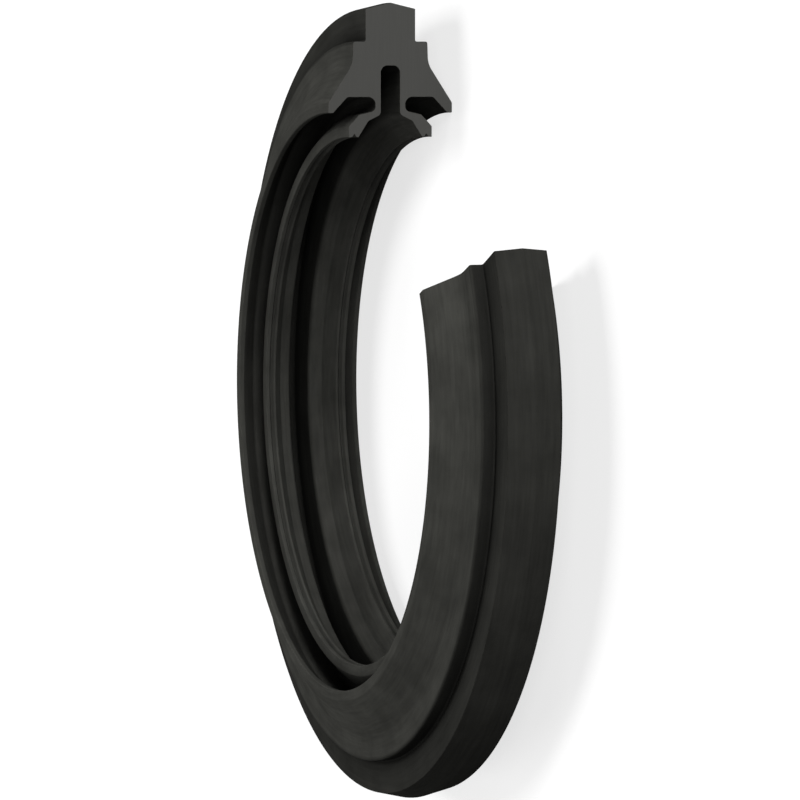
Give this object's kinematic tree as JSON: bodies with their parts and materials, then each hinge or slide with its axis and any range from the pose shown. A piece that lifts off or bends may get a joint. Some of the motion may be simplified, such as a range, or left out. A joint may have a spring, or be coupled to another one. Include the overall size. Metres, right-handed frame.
{
  "type": "double lip seal",
  "caption": "Moulded rubber shaft seal ring with flared outer lips, notched inner lips, a central slot and a peaked crown, cut open to show its section.",
  "frame": {"origin": "centre of the ring, on its axis and at the middle of its width", "axes": "+Z along the ring's axis, out of the upper side face; +X in the cut end that shows the section, which lies in the plane Y = 0; the cut-out sector runs from +X towards -Y"},
  "size_m": [0.09, 0.09, 0.0148],
  "materials": {
    "rubber": "moulded, matte"
  },
  "bodies": {
    "root": {"seal_ring": "rubber"}
  },
  "joints": []
}
